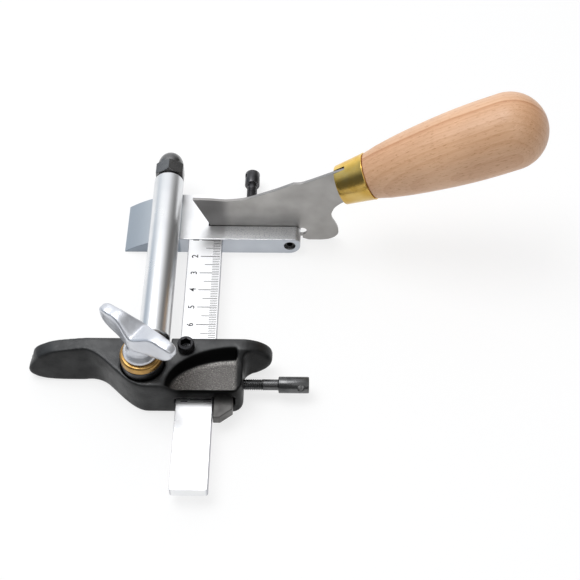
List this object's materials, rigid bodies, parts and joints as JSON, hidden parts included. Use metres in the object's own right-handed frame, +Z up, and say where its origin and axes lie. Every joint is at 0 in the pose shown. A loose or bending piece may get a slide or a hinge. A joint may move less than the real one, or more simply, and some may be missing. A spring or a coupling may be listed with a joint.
{
  "type": "strap cutter",
  "caption": "Bench strap cutter with a steel knife in a head, a graduated bar, a sliding cast fence and an adjustable roller that holds the strap down.",
  "frame": {"origin": "on the head's sole, under the knife, on the centreline of the graduated bar", "axes": "+X across the bar toward the handle, +Y along the bar from its free end to the head, +Z up from the soles"},
  "size_m": [0.2291, 0.1809, 0.0912],
  "materials": {
    "bright_steel": "ground and satin polished",
    "satin_steel": "satin",
    "blade_steel": "warm grey, finely ground",
    "chrome": "bright plated",
    "brass": "polished",
    "bronze": "plain bearing bronze",
    "black_oxide": "black oxide with an oily sheen",
    "black_casting": "satin black",
    "beech": "clear varnish"
  },
  "bodies": {
    "frame": {"graduated_bar": "bright_steel", "head": "bright_steel", "bar_dowel_left": "satin_steel", "bar_dowel_right": "satin_steel", "grub_screw": "black_oxide"},
    "knife": {"knife_blade": "blade_steel", "ferrule": "brass", "handle": "beech"},
    "blade_screw": {"blade_clamp_screw": "black_oxide"},
    "fence": {"fence_casting": "black_casting", "cap_screw": "black_oxide", "post_stud": "satin_steel", "lift_spring": "satin_steel"},
    "gib": {"gib": "black_casting"},
    "fence_screw": {"fence_clamp_screw": "black_oxide"},
    "carrier": {"roller_post": "black_oxide", "brass_washer": "brass", "roller_spindle": "satin_steel", "roller_spacer": "satin_steel", "thrust_washer": "black_oxide", "acorn_nut": "black_oxide"},
    "wing": {"wing_nut": "chrome"},
    "roller": {"roller": "satin_steel", "roller_bush_near": "bronze", "roller_bush_far": "bronze"}
  },
  "joints": [
    {"name": "knife_slide", "type": "slide", "parent": "frame", "child": "knife", "axis": [1, 0, 0], "range_m": [-0.0006, 0.04]},
    {"name": "blade_screw_turn", "type": "hinge", "parent": "frame", "child": "blade_screw", "pos_m": [0.021, 0.02, 0.0062], "axis": [0, 1, 0], "range_deg": [-45, 720]},
    {"name": "fence_slide", "type": "slide", "parent": "frame", "child": "fence", "axis": [0, 1, 0], "range_m": [-0.043, 0.064]},
    {"name": "gib_slide", "type": "slide", "parent": "fence", "child": "gib", "axis": [1, 0, 0], "range_m": [-0.000088, 0.000488]},
    {"name": "fence_screw_turn", "type": "hinge", "parent": "gib", "child": "fence_screw", "pos_m": [0.03, -0.0901, 0.007], "axis": [1, 0, 0], "range_deg": [-45, 225]},
    {"name": "carrier_lift", "type": "slide", "parent": "fence", "child": "carrier", "axis": [0, 0, 1], "range_m": [-0.002, 0.0045], "deforming": ["lift_spring"]},
    {"name": "wing_nut_turn", "type": "hinge", "parent": "carrier", "child": "wing", "pos_m": [-0.0223, -0.088, 0.03], "axis": [0, 0, 1], "range_deg": [-580, 1300]},
    {"name": "roller_spin", "type": "hinge", "parent": "carrier", "child": "roller", "pos_m": [-0.0185, -0.03, 0.02], "axis": [0, 1, 0], "continuous": true}
  ],
  "couplings": [
    {"joint": "fence_screw_turn", "follows": "gib_slide", "rad_per_m": 7854},
    {"joint": "wing_nut_turn", "follows": "carrier_lift", "rad_per_m": 5026.5}
  ]
}
